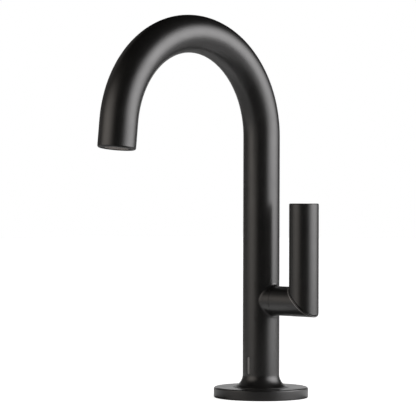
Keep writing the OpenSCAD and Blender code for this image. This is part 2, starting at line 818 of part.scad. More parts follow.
// The valve's cap gathers the ducts into one nozzle for the water tube
module valve_cap() {
    color(grey_plastic) translate([0, 0, guide_top_z]) difference() {
        union() {
            cylinder(r = insert_r, h = cap_h);
            cylinder(r = liner_bore_r - 0.05, h = cap_h + nozzle_h);
        }
        translate([0, 0, -cut]) cylinder(r = insert_r - 0.8, h = cap_h - cap_roof + cut);
        cylinder(r = liner_bore_r - 1, h = cap_h + nozzle_h + cut);
    }
}

// The water tube from the valve's nozzle to the mouth's adapter
module water_liner() {
    liner_tail = tail_l - pocket_depth - 3 - 0.2;
    color(white_plastic) difference() {
        spout_bar(liner_r, liner_z, liner_tail);
        spout_bar(liner_bore_r, liner_z - cut, liner_tail + cut);
    }
}

// A pierced disc that centres the water tube
module liner_spacer() {
    translate([0, 0, -spacer_t / 2]) difference() {
        ring(insert_r, liner_r + fit_gap, spacer_t);
        for (i = [0 : 4]) rotate([0, 0, i * 72])
            translate([(insert_r + liner_r) / 2, 0, -cut]) cylinder(r = spacer_window_r, h = spacer_t + 2 * cut);
    }
}

module liner_spacers() {
    color(grey_plastic) {
        translate([0, 0, (liner_z + arc_z) / 2 + 8]) liner_spacer();
        for (share = [0.3, 0.65]) on_arc(arc_angle * share) liner_spacer();
    }
}

// The threaded ring in the mouth, with the aerator's pocket and the water tube's socket
module outlet_adapter() {
    color(satin_black) at_mouth() difference() {
        translate([0, 0, adapter_recess]) cylinder(r = adapter_r, h = adapter_l - adapter_recess);
        cylinder(d = pocket_d, h = pocket_depth);
        cylinder(r = liner_bore_r, h = adapter_l + cut);
        translate([0, 0, pocket_depth + 3]) cylinder(r = liner_r + fit_gap, h = adapter_l);
    }
}

// The aerator's shell, with a ledge behind its face and one under the regulator
module aerator_shell() {
    color(aerator_grey) at_mouth() translate([0, 0, shell_recess]) {
        difference() {
            cylinder(r = aerator_r, h = aerator_l);
            translate([0, 0, -cut]) cylinder(r = aerator_bore_r, h = face_recess - shell_recess + screen_t + cut);
            cylinder(r = aerator_bore_r - ledge_t, h = aerator_l);
            translate([0, 0, face_recess - shell_recess + screen_t + ledge_t])
                cylinder(r = aerator_bore_r, h = regulator_z - shell_recess - 2 * ledge_t - screen_t
                    - face_recess + shell_recess);
            translate([0, 0, regulator_z - shell_recess]) cylinder(r = aerator_bore_r, h = aerator_l);
        }
    }
}

// The aerator's face: rings of round holes about a middle one
module aerator_screen() {
    color(aerator_grey) at_mouth() translate([0, 0, face_recess]) difference() {
        cylinder(r = aerator_bore_r - fit_gap, h = screen_t);
        translate([0, 0, -cut]) cylinder(d = screen_hole_d, h = screen_t + 2 * cut);
        for (k = [1 : screen_rings]) for (i = [0 : 6 * k - 1]) rotate([0, 0, i * 60 / k])
            translate([k * screen_pitch, 0, -cut]) cylinder(d = screen_hole_d, h = screen_t + 2 * cut);
    }
}

module flow_regulator() {
    color(white_plastic) at_mouth() translate([0, 0, regulator_z]) difference() {
        cylinder(r = regulator_r, h = regulator_t);
        for (i = [0 : 5]) rotate([0, 0, i * 60])
            translate([regulator_r * 0.6, 0, -cut]) cylinder(d = 2, h = regulator_t + 2 * cut);
    }
}

module aerator_seal() {
    seal_z = shell_recess + aerator_l;
    color(rubber_black) at_mouth() translate([0, 0, seal_z])
        ring(aerator_r - 0.1, aerator_bore_r - 2, pocket_depth - seal_z - 0.1);
}

spout_body();
base_flange();
deck_gasket();
mounting_shank();
sealing_washer();
clamp_washer();
mounting_nut();
inlet_block();
hot_supply_tube();
cold_supply_tube();
board_clips();
sensor_board();
sensor_module();
indicator_lens();
valve_manifold();
cartridge_base();
cartridge_o_rings();
fixed_disc();
cartridge_housing();
cartridge_nut();
glide_rings();
moving_disc();
cartridge_stem();
stem_o_ring();
lever_sleeve();
lever_post();
stem_grub_screw();
post_grub_screw();
valve_housing();
core_tube();
plunger();
plunger_seal();
plunger_spring();
coil_bobbin();
coil_winding();
coil_yoke();
duct_sleeve();
valve_cap();
water_liner();
liner_spacers();
outlet_adapter();
aerator_shell();
aerator_screen();
flow_regulator();
aerator_seal();
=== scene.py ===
# %% [markdown]
# # An electronic bathroom faucet in satin black
# One slim tube rises from a round flange and turns over in a gooseneck, and a mitred lever stands
# beside it on a short neck. The places and sizes come from a CAD model, and this lesson dresses it.
# Lengths are in metres, so a size in millimetres is written as a number times MM.

# %% Load the frame
import json
import math

import bmesh
import bpy
from mathutils import Matrix, Vector

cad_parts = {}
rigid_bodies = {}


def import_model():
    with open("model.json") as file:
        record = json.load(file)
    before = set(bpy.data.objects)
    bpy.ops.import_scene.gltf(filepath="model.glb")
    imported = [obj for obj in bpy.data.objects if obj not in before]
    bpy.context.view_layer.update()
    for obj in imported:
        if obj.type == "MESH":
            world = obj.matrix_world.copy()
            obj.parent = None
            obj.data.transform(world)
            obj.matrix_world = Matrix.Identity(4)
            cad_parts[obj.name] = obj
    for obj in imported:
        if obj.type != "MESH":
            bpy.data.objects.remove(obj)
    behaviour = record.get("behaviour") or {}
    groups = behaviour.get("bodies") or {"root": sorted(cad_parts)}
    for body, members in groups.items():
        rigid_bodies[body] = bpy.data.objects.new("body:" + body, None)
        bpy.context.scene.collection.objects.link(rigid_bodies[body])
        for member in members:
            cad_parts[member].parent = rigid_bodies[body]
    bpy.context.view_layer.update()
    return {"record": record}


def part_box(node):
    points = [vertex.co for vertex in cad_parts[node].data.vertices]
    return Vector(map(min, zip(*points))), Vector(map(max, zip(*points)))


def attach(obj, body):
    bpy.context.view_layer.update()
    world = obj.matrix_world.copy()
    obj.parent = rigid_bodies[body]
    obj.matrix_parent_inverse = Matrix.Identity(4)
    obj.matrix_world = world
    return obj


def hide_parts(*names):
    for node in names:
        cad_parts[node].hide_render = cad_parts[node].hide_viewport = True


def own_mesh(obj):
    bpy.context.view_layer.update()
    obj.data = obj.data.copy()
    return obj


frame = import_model()
MM = 0.001


# %% [markdown]
# ## Sizes
# Most sizes are read from the CAD pieces. What a box can't tell, such as the radius of the bend, is a
# named value.

# %% Sizes of the spout
tube_r = -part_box("indicator_lens")[0].y
tube_wall = 2.2 * MM
bore_r = tube_r - tube_wall
arc_r = 78.9 * MM
bend_degrees = 174
arc_turn = math.radians(bend_degrees)
tail_l = 21.4 * MM
arc_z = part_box("spout_body")[1].z - arc_r - tube_r
flange_r, flange_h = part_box("base_flange")[1].xz
gasket_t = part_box("deck_gasket")[1].z
print("tube radius", round(tube_r / MM, 2), "mm, arc centre", round(arc_z / MM, 1), "mm up")

# %% Sizes of the lever
sleeve_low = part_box("lever_sleeve")[0]
post_low, post_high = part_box("lever_post")
neck_r = (post_high.x - post_low.x) / 2
neck_z = sleeve_low.z + neck_r
post_x = post_low.x + neck_r
seam_gap = 0.15 * MM
mitre_gap = 0.5 * MM
collar_x = sleeve_low.x - seam_gap
nose_l = 8.4 * MM
nose_x = collar_x + nose_l
print("neck radius", round(neck_r / MM, 2), "mm, axis", round(neck_z / MM, 1), "mm up")

# %% [markdown]
# ## Camera
# The photograph looks level, at 45 degrees to the spout, through a long lens. The column stands
# right of the middle, so the eye moves left instead of turning, which keeps upright lines upright.

# %% Camera
def new_object(name, data):
    made = bpy.data.objects.new(name, data)
    bpy.context.scene.collection.objects.link(made)
    return made


photo_px = 416
focal_px = 2100
column_px = 53.4
eye_line_px = 4
view_turn = math.radians(45)
camera_roll = math.radians(0.15)
eye_distance = 1.706
eye_height = 0.1567

look = Vector((-math.sin(view_turn), math.cos(view_turn), 0))
right = Vector((math.cos(view_turn), math.sin(view_turn), 0))
eye = -look * eye_distance - right * eye_distance * column_px / focal_px
eye.z = eye_height
camera_data = bpy.data.cameras.new("camera")
camera_data.lens = camera_data.sensor_width * focal_px / photo_px
camera_data.shift_y = -eye_line_px / photo_px
camera = new_object("camera", camera_data)
camera.location = eye
camera.rotation_euler = (math.radians(90), -camera_roll, view_turn)
bpy.context.scene.camera = camera
print("lens", round(camera_data.lens, 1), "mm, eye at", [round(v, 3) for v in eye])

# %% [markdown]
# ## Studio
# The photograph is a cut-out: pure white behind and below, with a large cool softbox to the camera's
# right and a small warm one to its left. Satin black is nearly all reflection, so the lamps' places
# matter more than their number. The world is white where the camera or a reflection sees it, and a
# plain grey for the soft light that it sends.

# %% Directions in the studio
def studio_point(turn, distance, height):
    """A point at an angle from the camera's direction, towards the camera's right."""
    angle = math.radians(turn)
    place = (right * math.sin(angle) - look * math.cos(angle)) * distance
    place.z = height
    return place


# %% Node helpers
def fill_in(node, inputs):
    """Sets a node's inputs. Each is a number, a colour or the output of another node."""
    for socket, value in inputs.items():
        if isinstance(value, bpy.types.NodeSocket):
            node.id_data.links.new(value, node.inputs[socket])
        else:
            node.inputs[socket].default_value = value


def add_node(tree, kind, inputs=None, **settings):
    made = tree.nodes.new("ShaderNode" + kind)
    for setting, value in settings.items():
        setattr(made, setting, value)
    fill_in(made, inputs or {})
    return made


def maths(tree, operation, *values):
    return add_node(tree, "Math", dict(enumerate(values)), operation=operation).outputs[0]


def seen_rays(tree):
    """1 for the rays that the camera, glossy surfaces and clear ones see, and 0 for light."""
    rays = add_node(tree, "LightPath").outputs
    direct = maths(tree, "MAXIMUM", rays["Is Camera Ray"], rays["Is Glossy Ray"])
    return maths(tree, "MAXIMUM", direct, rays["Is Transmission Ray"])


def new_material(name, inputs):
    """A material whose shader has these inputs."""
    material = bpy.data.materials.new(name)
    material.use_nodes = True
    fill_in(material.node_tree.nodes["Principled BSDF"], inputs)
    return material


# %% World
sky_fill = 0.22
world = bpy.data.worlds.new("studio")
world.use_nodes = True
bpy.context.scene.world = world
tree = world.node_tree
strength = add_node(tree, "MapRange", {"Value": seen_rays(tree), "To Min": sky_fill})
fill_in(tree.nodes["Background"], {"Strength": strength.outputs[0], "Color": (1, 1, 1, 1)})
bpy.context.scene.view_settings.view_transform = "Standard"
print("world: white where it is seen,", sky_fill, "of light elsewhere")

# %% [markdown]
# ## Lamps, flags and mats
# A softbox is brightest in its middle and fades to its edges, which gives satin metal its soft
# highlight. Black cards, which photographers call flags, keep the white room out of the reflections,
# and mats on the floor do the same for what looks down. Two flags behind on the left are dim grey,
# which lifts the tube's left edge. The cards are seen only in reflections.

# %% Softboxes
lamp_distance = 1.25


def softbox(name, turn, height, aim_height, size, power, colour):
    """An area lamp that faces the faucet and fades to nothing at its edges."""
    data = bpy.data.lights.new(name, "AREA")
    data.shape = "RECTANGLE"
    data.size, data.size_y = size
    data.color = colour
    data.energy = power
    data.use_nodes = True
    tree = data.node_tree
    over = add_node(tree, "NewGeometry").outputs["Parametric"]
    parts = add_node(tree, "SeparateXYZ", {0: over}).outputs
    humps = [maths(tree, "SINE", maths(tree, "MULTIPLY", parts[axis], math.pi)) for axis in ("X", "Y")]
    fade = maths(tree, "POWER", maths(tree, "MULTIPLY", *humps), 2)
    fill_in(tree.nodes["Emission"], {"Strength": fade})
    lamp = new_object(name, data)
    lamp.location = studio_point(turn, lamp_distance, height)
    aim = Vector((0, 0, aim_height)) - lamp.location
    lamp.rotation_euler = aim.to_track_quat("-Z", "Y").to_euler()
    lamp.visible_camera = False
    print(name, "at", [round(v, 2) for v in lamp.location], "m,", power, "W")


softbox("key_softbox", turn=80, height=0.52, aim_height=0.47, size=(3.3, 2.2), power=72,
        colour=(1.0, 0.985, 0.99))
softbox("fill_softbox", turn=-64, height=0.47, aim_height=0.40, size=(2.4, 1.8), power=12.8,
        colour=(1.0, 0.93, 0.86))

# %% Card helpers
def card_finish(name, grey, glow=0, colour=(1, 1, 1)):
    """A finish with no shine, which may glow a little."""
    return new_material(name, {"Base Color": (grey, grey, grey, 1), "Specular IOR Level": 0,
                               "Emission Color": (*colour, 1), "Emission Strength": glow})


def card(name, corners, finish):
    """A card between corners, each given as a turn, a distance and a height."""
    data = bpy.data.meshes.new(name)
    data.from_pydata([tuple(studio_point(*corner)) for corner in corners], [], [(0, 1, 2, 3)])
    data.materials.append(finish)
    made = new_object(name, data)
    for ray in ("camera", "diffuse", "transmission", "shadow", "volume_scatter"):
        setattr(made, "visible_" + ray, False)


# %% Flags
card_black = 0.002
black_card = card_finish("black_card", card_black)
dim_card = card_finish("grey_card", card_black, 0.115, (1.0, 0.97, 0.94))
gap_half = 22
gap_top = 0.62
wall_count, dim_walls = 12, 2
wall_distance, wall_top = 1.9, 1.9
roof_distance = 1.5 * wall_distance
wall_turn = 2 * (180 - gap_half) / wall_count


def wall_card(name, first, last, low, finish):
    """A card on the circle of the walls, between two turns, from a height up to the roof."""
    corners = ((first, low), (last, low), (last, wall_top), (first, wall_top))
    card(name, [(turn, wall_distance, height) for turn, height in corners], finish)


for i in range(wall_count):
    turn = gap_half - 180 + wall_turn * i
    wall_card("wall_flag_%d" % i, turn, turn + wall_turn, 0, dim_card if i < dim_walls else black_card)
card("roof_flag", [(turn, roof_distance, wall_top) for turn in (45, 135, 225, 315)], black_card)
wall_card("gap_flag", 180 - gap_half, 180 + gap_half, gap_top, black_card)
print(wall_count + 2, "flags, with a gap of", 2 * gap_half, "degrees behind")

# %% Mats
# Each row: name, grey, glow, height, and the corners by turn and distance.
mats = (
    ("grey_mat", 0.65, 0, 0.1 * MM, [(-45, 2.2), (45, 2.2), (135, 2.2), (225, 2.2)]),
    ("side_mat", 0.95, 0, 0.15 * MM, [(-45, 0.3), (45, 0.3), (135, 0.3), (225, 0.3)]),
    ("key_side_card", 0.95, 0.55, 0.18 * MM, [(42, 0.045), (42, 0.16), (125, 0.18), (125, 0.045)]),
    ("fill_side_card", 0.95, 0.22, 0.18 * MM, [(-40, 0.045), (-40, 0.16), (-125, 0.18), (-125, 0.045)]),
    ("front_mat", 0.09, 0, 0.2 * MM, [(-90, 0.05), (-38, 2.2), (38, 2.2), (90, 0.05)]),
    ("foot_mat", 0.4, 0, 0.3 * MM, [(-75, 0.1), (-30, 0.2), (30, 0.2), (75, 0.1)]),
)
for name, grey, glow, height, corners in mats:
    card(name, [(*corner, height) for corner in corners], card_finish(name, grey, glow))
print(len(mats), "mats and cards on the floor")

# %% Floor
floor_size, floor_glow = 12, 0.85
bpy.ops.mesh.primitive_plane_add(size=floor_size)
floor = bpy.context.object
floor.name = "floor"
paper = new_material("white_paper", {"Base Color": (0.8, 0.8, 0.8, 1), "Roughness": 0.9,
                                     "Emission Color": (1, 1, 1, 1)})
tree = paper.node_tree
glow = add_node(tree, "MapRange", {"Value": seen_rays(tree), "To Max": floor_glow})
fill_in(tree.nodes["Principled BSDF"], {"Emission Strength": glow.outputs[0]})
floor.data.materials.append(paper)

# %% [markdown]
# ## Finishes
# Each finish is a small set of nodes on Object coordinates, in metres, so a scale of 1000 means one
# cell to a millimetre. Colour, roughness and a little bump vary together, because no real surface is
# perfectly even. The lever's lower arm has a coat of its own, with a painted highlight: a thin light
# line along the mitre that stands in for the light caught by the joint's edge.

# %% Finish helper
class Finish:
    """A material under construction, on Object coordinates."""

    def __init__(self, name, colour, roughness, metal=0.0, ior=1.5):
        sockets = {"Base Color": (*colour, 1), "Roughness": roughness, "Metallic": metal, "IOR": ior}
        self.material = new_material(name, sockets)
        self.tree = self.material.node_tree
        self.shader = self.tree.nodes["Principled BSDF"]
        self.place = self.node("TexCoord").outputs["Object"]

    def node(self, kind, inputs=None, **settings):
        return add_node(self.tree, kind, inputs, **settings)

    def stretched(self, scale=(1, 1, 1), turn=(0, 0, 0)):
        """Object coordinates, turned and scaled, for a grain that runs one way."""
        return self.node("Mapping", {"Vector": self.place, "Scale": scale, "Rotation": turn}).outputs[0]

    def noise(self, cell, detail=2.0, place=None):
        """Soft noise with cells of a size in metres."""
        inputs = {"Vector": place or self.place, "Scale": 1 / cell, "Detail": detail}
        return self.node("TexNoise", inputs).outputs["Fac"]

    def between(self, value, low, high, start=0.3, stop=0.7):
        """Spreads a value from one range over another."""
        inputs = {"Value": value, "From Min": start, "From Max": stop, "To Min": low, "To Max": high}
        return self.node("MapRange", inputs).outputs[0]

    def tint(self, value, other):
        """Mixes another colour over what is painted so far, by a value."""
        painted = self.shader.inputs["Base Color"]
        below = painted.links[0].from_socket if painted.links else painted.default_value
        mixed = self.node("Mix", {"Factor": value, "A": below, "B": (*other, 1)}, data_type="RGBA")
        fill_in(self.shader, {"Base Color": mixed.outputs["Result"]})

    def rough(self, value, low, high):
        fill_in(self.shader, {"Roughness": self.between(value, low, high)})

    def bump(self, value, depth):
        """Raises the surface by a depth in metres."""
        raised = self.node("Bump", {"Height": value, "Distance": depth, "Strength": 1.0})
        fill_in(self.shader, {"Normal": raised.outputs[0]})


def dress(finish, piece):
    """Gives a piece a finish in place of what it had."""
    piece.data.materials.clear()
    piece.data.materials.append(finish.material)


# %% Satin black
coat_black, coat_light = (0.0085, 0.0080, 0.0075), (0.0110, 0.0104, 0.0098)
coat_grain, coat_drift, coat_relief = 0.35 * MM, 14 * MM, 0.012 * MM


def satin_coat(name):
    """A black powder coat with a fine grain and a slow drift of its gloss."""
    coat = Finish(name, coat_black, 0.33, ior=2.0)
    grain = coat.noise(coat_grain, 3.0)
    coat.tint(coat.between(grain, 0, 1), coat_light)
    coat.rough(coat.noise(coat_drift), 0.31, 0.36)
    coat.bump(grain, coat_relief)
    return coat


satin_black = satin_coat("satin_black_coat")

# %% Satin black with a painted highlight along the mitre
# Sizes of a painted highlight: a thin light line just below the mitre, in place of the light on the joint's
# edge.
painted_highlight_half_w = 0.3 * MM
painted_highlight_below = mitre_gap / 2 + 0.7 * MM
mitre_normal = Vector((1, 0, 1)).normalized()
mitre_point = Vector((post_x, 0, neck_z))
painted_highlight_coat = satin_coat("satin_black_painted_highlight")
across = painted_highlight_coat.node("VectorMath", {0: painted_highlight_coat.place, 1: mitre_normal}, operation="DOT_PRODUCT")
painted_highlight_level = mitre_point.dot(mitre_normal) - painted_highlight_below
painted_highlight_inputs = {0: across.outputs["Value"], 1: painted_highlight_level, 2: painted_highlight_half_w}
painted_highlight = painted_highlight_coat.node("Math", painted_highlight_inputs, operation="COMPARE").outputs[0]
# Painted highlight: this light line along the mitre stands in for the light that the joint's edge catches.
painted_highlight_coat.tint(painted_highlight, (0.27, 0.26, 0.25))
print("a worn line", round(2 * painted_highlight_half_w / MM, 1), "mm wide along the mitre")

# %% Even finishes with a grain
def grained(name, colour, other, low, high, cell, detail=3.0, patches=None, depth=0.0, ior=1.5):
    """A finish whose grain drives its gloss and relief. Its colour follows the grain or patches."""
    finish = Finish(name, colour, (low + high) / 2, ior=ior)
    grain = finish.noise(cell, detail)
    finish.tint(finish.noise(patches) if patches else grain, other)
    finish.rough(grain, low, high)
    if depth:
        finish.bump(grain, depth)
    return finish


black_trim = grained("black_trim_plastic", (0.012, 0.012, 0.012), (0.017, 0.017, 0.017), 0.38, 0.48,
                     0.25 * MM, depth=0.015 * MM)
aerator_grey = grained("aerator_plastic", (0.31, 0.28, 0.26), (0.36, 0.33, 0.31), 0.45, 0.58,
                       0.6 * MM, 4.0, depth=0.01 * MM)
smoked = grained("smoked_lens", (0.33, 0.325, 0.32), (0.38, 0.375, 0.37), 0.27, 0.34,
                 1.2 * MM, 2.0, ior=1.49)
sensor_black = grained("sensor_housing", (0.012, 0.012, 0.015), (0.018, 0.015, 0.020), 0.07, 0.13,
                       2 * MM, 2.0, ior=1.55)

# %% [markdown]
# ## Metals under the coat
# Turned brass and steel carry fine rings from the lathe. Noise that is squeezed along Z and
# stretched across it draws them. Brass and copper also darken a little in patches.

# %% Metals
def turned_metal(name, colour, tarnish, low, high, ring_pitch=0.12 * MM):
    """Metal with lathe rings around Z and soft patches of tarnish."""
    metal = Finish(name, colour, (low + high) / 2, metal=1.0)
    rings = metal.noise(ring_pitch, 2.0, metal.stretched((0.02, 0.02, 1)))
    patches = metal.noise(9 * MM, 3.0)
    metal.tint(metal.between(patches, 0, 1, 0.35, 0.75), tarnish)
    metal.rough(rings, low, high)
    metal.bump(rings, 0.006 * MM)
    return metal


brass = turned_metal("turned_brass", (0.78, 0.60, 0.32), (0.66, 0.47, 0.22), 0.24, 0.38)
steel = turned_metal("turned_steel", (0.62, 0.62, 0.63), (0.52, 0.52, 0.54), 0.22, 0.36)
copper = turned_metal("drawn_copper", (0.72, 0.40, 0.25), (0.52, 0.25, 0.15), 0.22, 0.34, 0.5 * MM)

# %% Enamelled winding
wire_pitch = 0.35 * MM
winding = Finish("enamelled_wire", (0.60, 0.25, 0.11), 0.3, metal=0.85)
turns_of_wire = winding.node("TexWave", {"Vector": winding.place, "Scale": math.tau / 20 / wire_pitch},
                             bands_direction="Z", wave_profile="SIN").outputs["Fac"]
winding.tint(winding.between(turns_of_wire, 1, 0, 0.0, 0.5), (0.20, 0.07, 0.03))
winding.rough(turns_of_wire, 0.34, 0.22)
winding.bump(turns_of_wire, 0.12 * MM)

# %% [markdown]
# ## Rubber, plastic and ceramic
# Moulded parts have a fine even grain from the mould. Ceramic discs are lapped so flat that they
# shine, with a few faint specks.

# %% Rubber, plastics and ceramic
rubber = grained("seal_rubber", (0.022, 0.022, 0.022), (0.034, 0.034, 0.033), 0.64, 0.80,
                 0.2 * MM, 4.0, depth=0.02 * MM)
white_plastic = grained("white_acetal", (0.82, 0.82, 0.80), (0.77, 0.77, 0.74), 0.36, 0.46,
                        0.3 * MM, patches=7 * MM, depth=0.01 * MM)
grey_plastic = grained("grey_nylon", (0.20, 0.21, 0.22), (0.24, 0.25, 0.26), 0.44, 0.56,
                       0.3 * MM, patches=7 * MM, depth=0.01 * MM)

speck_cell = 0.9 * MM
ceramic = Finish("lapped_ceramic", (0.90, 0.88, 0.84), 0.12, ior=1.76)
specks = ceramic.node("TexVoronoi", {"Vector": ceramic.place, "Scale": 1 / speck_cell})
ceramic.tint(ceramic.between(specks.outputs["Distance"], 1, 0, 0.04, 0.10), (0.70, 0.66, 0.60))
ceramic.rough(ceramic.noise(3 * MM), 0.09, 0.16)

# %% Circuit board
board = Finish("green_board", (0.012, 0.115, 0.045), 0.32)
upright_place = board.stretched(turn=(math.radians(90), 0, 0))
brick_inputs = {"Vector": upright_place, "Scale": 260.0, "Mortar Size": 0.03}
lanes = board.node("TexBrick", brick_inputs).outputs["Fac"]
board.tint(lanes, (0.03, 0.26, 0.10))
board.rough(lanes, 0.26, 0.38)
board.bump(lanes, 0.03 * MM)

# %% Finishes by slot
finishes = dict(
    satin_black=satin_black, black_trim=black_trim, aerator=aerator_grey, lens=smoked, brass=brass,
    steel=steel, copper=copper, winding=winding, rubber=rubber, white_plastic=white_plastic,
    grey_plastic=grey_plastic, ceramic=ceramic, board=board, sensor=sensor_black)
print(len(finishes), "finishes:", ", ".join(finish.material.name for finish in finishes.values()))

# %% [markdown]
# ## Building with rings
# Nearly every piece of a tap is turned on a lathe. A ring of vertices, extruded from point to point
# of the profile, makes the same shape with even faces and no seam. The helper remembers where the
# ring is, and can carry it round a bend with the Spin tool.

# %% Selection helpers
merge_distance = 0.002 * MM


def deselect():
    if bpy.context.object and bpy.context.object.mode == "EDIT":
        bpy.ops.object.mode_set(mode="OBJECT")
    bpy.ops.object.select_all(action="DESELECT")


def pick(piece):
    """Makes a piece the only one that is selected."""
    deselect()
    bpy.context.view_layer.objects.active = piece
    piece.select_set(True)


def edit(piece):
    pick(piece)
    bpy.ops.object.mode_set(mode="EDIT")
    bpy.ops.mesh.select_mode(type="VERT")
    bpy.ops.mesh.select_all(action="SELECT")


def select_none(kind):
    """Clears the selection in edit mode, sets the kind that is selected next, and gives the mesh."""
    bpy.ops.mesh.select_mode(type=kind)
    bpy.ops.mesh.select_all(action="DESELECT")
    return bmesh.from_edit_mesh(bpy.context.object.data)


def merge_doubles():
    bpy.ops.mesh.select_all(action="SELECT")
    bpy.ops.mesh.remove_doubles(threshold=merge_distance)


def extrude(step=(0, 0, 0)):
    bpy.ops.mesh.extrude_region_move(TRANSFORM_OT_translate={"value": step})


# %% Ring helper
class Ring:
    """The selected ring of a piece in edit mode, which is extruded to grow the piece."""

    def __init__(self, radius, centre, direction=(0, 0, 1), at=0.0):
        self.radius = radius
        self.centre = Vector(centre)
        self.direction = Vector(direction)
        self.at = at

    def add(self, sides, fill="NOTHING"):
        """Adds the ring to the mesh that is being edited, or as a new object."""
        turn = self.direction.to_track_quat("Z", "Y").to_euler()
        bpy.ops.mesh.primitive_circle_add(
            vertices=sides, radius=self.radius, location=self.centre, rotation=turn, fill_type=fill)

    def to(self, radius, at):
        """Extrudes the ring to a radius and a place along its direction."""
        step = self.direction * (at - self.at)
        extrude(step)
        self.centre += step
        k = radius / self.radius
        bpy.ops.transform.resize(value=(k, k, k), center_override=self.centre)
        self.radius, self.at = radius, at

    def follow(self, profile):
        for radius, at in profile:
            self.to(radius, at)

    def spin(self, steps, angle, centre, at):
        """Carries the ring round an X axis. The Spin tool counts its angle the other way."""
        bpy.ops.mesh.spin(steps=steps, angle=-angle, center=centre, axis=(1, 0, 0))
        turn = Matrix.Rotation(angle, 3, "X")
        self.centre = turn @ (self.centre - Vector(centre)) + Vector(centre)
        self.direction = turn @ self.direction
        self.at = at


def start(name, ring, sides, fill="NOTHING"):
    """A new object with one ring, in edit mode, with its origin at the world's."""
    deselect()
    ring.add(sides, fill)
    piece = bpy.context.object
    piece.name = piece.data.name = name
    bpy.ops.object.transform_apply(location=True, rotation=True, scale=True)
    bpy.ops.object.mode_set(mode="EDIT")
    return piece


def close_up():
    """Merges doubled vertices, turns the faces outwards and leaves edit mode."""
    merge_doubles()
    bpy.ops.mesh.normals_make_consistent(inside=False)
    bpy.ops.object.mode_set(mode="OBJECT")


# %% Turning and cutting helpers
def rounding(radius, height, r, first, last, steps=5):
    """Points of a rounded corner about a centre at (radius, height), between two angles."""
    angles = [math.radians(first + (last - first) * i / steps) for i in range(steps + 1)]
    return [(radius + r * math.cos(a), height + r * math.sin(a)) for a in angles]


def turned(name, profile, sides=96, bored=True):
    """A piece turned about Z from its (radius, height) points. A bored piece closes on itself."""
    radius, height = profile[0]
    ring = Ring(radius, (0, 0, height), at=height)
    piece = start(name, ring, sides, "NOTHING" if bored else "NGON")
    ring.follow(profile[1:] + (profile[:1] if bored else []))
    close_up()
    return piece


def tell(piece):
    """Prints a piece's faces, and its edges that don't join exactly two of them."""
    mesh = bmesh.new()
    mesh.from_mesh(piece.data)
    count = sum(len(edge.link_faces) != 2 for edge in mesh.edges)
    mesh.free()
    print(piece.name + ":", len(piece.data.polygons), "faces,", count, "open edges")


def modify(piece, kind, **settings):
    """Adds a modifier with its settings and applies it."""
    pick(piece)
    modifier = piece.modifiers.new(kind.lower(), kind)
    for setting, value in settings.items():
        setattr(modifier, setting, value)
    bpy.ops.object.modifier_apply(modifier=modifier.name)


def combine(piece, tool, operation):
    """Joins, cuts or trims a piece with a tool, and removes the tool."""
    modify(piece, "BOOLEAN", object=tool, operation=operation, solver="EXACT")
    bpy.data.objects.remove(tool)


def shade(piece, angle=30):
    """Smooths the faces that meet under an angle, and lets the large ones set the normals."""
    pick(piece)
    bpy.ops.object.shade_smooth_by_angle(angle=math.radians(angle))
    modify(piece, "WEIGHTED_NORMAL", keep_sharp=True)
    tell(piece)


def place(piece, matrix):
    """Moves a piece that was made about the world's Z axis, in its mesh."""
    piece.data.transform(matrix)
    return piece


def shifted(x=0, y=0, z=0):
    return Matrix.Translation((x, y, z))


def turned_by(degrees):
    """A turn about X."""
    return Matrix.Rotation(math.radians(degrees), 4, "X")


def barrel(radius, low, high, chamfer):
    """The profile of a rod's side, with a chamfer at both ends."""
    slim = radius - chamfer
    return [(slim, low), (radius, low + chamfer), (radius, high - chamfer), (slim, high)]


def rod(name, radius, low, high, sides=48, chamfer=0.0):
    """A plain rod along Z, used to join or to cut."""
    profile = barrel(radius, low, high, chamfer) if chamfer else [(radius, low), (radius, high)]
    return turned(name, profile, sides, bored=False)


def box(name, centre, size):
    deselect()
    bpy.ops.mesh.primitive_cube_add(size=1)
    made = bpy.context.object
    made.name = made.data.name = name
    return place(made, shifted(*centre) @ Matrix.Diagonal((*size, 1)))


def drill(piece, radius, low, high, matrix=Matrix.Identity(4), sides=48):
    """Cuts a hole along Z between two heights, moved by a matrix."""
    combine(piece, place(rod("drill", radius, low, high, sides), matrix), "DIFFERENCE")


# %% [markdown]
# ## The spout
# The real spout is one bent tube on a flared foot, with a short neck brazed to its side. Here it is
# one closed shell: a ring starts inside the foot, goes up the outside of the column, round the bend
# to the mouth, and back down the bore. A Boolean could add the neck and cut the window, but it leaves
# long thin faces that spoil the sheen. So openings are made in the wall's grid of faces, and each is
# bridged to a ring of its own.

# %% Wall of the column
foot_fillet = 10 * MM
foot_lip = 0.25 * MM
spigot_r = 15.5 * MM
socket_r = 13.1 * MM
socket_top = 16 * MM
fillet_top = flange_h + foot_fillet
window_rows = (18 * MM, 35 * MM)
neck_reach = 16.5 * MM
neck_rows = (neck_z - neck_reach, neck_z + neck_reach)
row_h = 1 * MM
spout_sides = 96


def wall_radius(z):
    """Radius of the outer wall at a height: the flare of the foot, then the plain tube."""
    below = min(max(fillet_top - z, 0), foot_fillet)
    return tube_r + foot_fillet - math.sqrt(foot_fillet ** 2 - below ** 2)


def rows(low, high):
    count = round((high - low) / row_h)
    return [low + (high - low) * i / count for i in range(count + 1)]


lip_angle = math.acos((foot_fillet - foot_lip) / foot_fillet)
flare_end, flare_steps = math.radians(84), 12
flare_step = (flare_end - lip_angle) / flare_steps
flare_angles = [lip_angle + flare_step * i for i in range(flare_steps + 1)]
flare_rows = [fillet_top - foot_fillet * math.cos(angle) for angle in flare_angles]
wall_rows = rows(*window_rows) + rows(*neck_rows)

